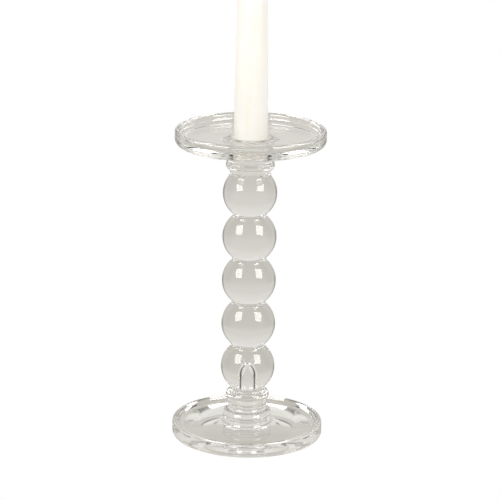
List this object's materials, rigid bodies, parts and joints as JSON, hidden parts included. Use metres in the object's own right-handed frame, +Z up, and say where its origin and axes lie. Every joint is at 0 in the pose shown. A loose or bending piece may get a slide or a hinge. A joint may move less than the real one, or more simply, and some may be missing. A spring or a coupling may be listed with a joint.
{
  "type": "glass candlestick",
  "caption": "Clear glass candlestick with a dished round foot, a stem of fused balls, and a wide drip pan whose socket holds a tapered table candle.",
  "frame": {"origin": "centre of the foot's underside, on the surface it stands on", "axes": "+Z up along the stem and the candle; the object is round about Z, so X and Y are any two directions across it"},
  "size_m": [0.1, 0.1, 0.4005],
  "materials": {
    "clear_glass": "clear, fire polished, nearly colourless",
    "candle_wax": "satin ivory-white wax",
    "wick_cotton": "waxed braided cotton"
  },
  "bodies": {
    "holder": {"foot_plate": "clear_glass", "foot_collar": "clear_glass", "ball_1": "clear_glass", "ball_2": "clear_glass", "ball_3": "clear_glass", "ball_4": "clear_glass", "ball_5": "clear_glass", "pan_collar": "clear_glass", "candle_socket": "clear_glass", "drip_pan": "clear_glass"},
    "candle_body": {"candle": "candle_wax", "wick": "wick_cotton"}
  },
  "joints": [
    {"name": "candle_lift", "type": "slide", "parent": "holder", "child": "candle_body", "axis": [0, 0, 1], "range_m": [0, 0.03]}
  ]
}
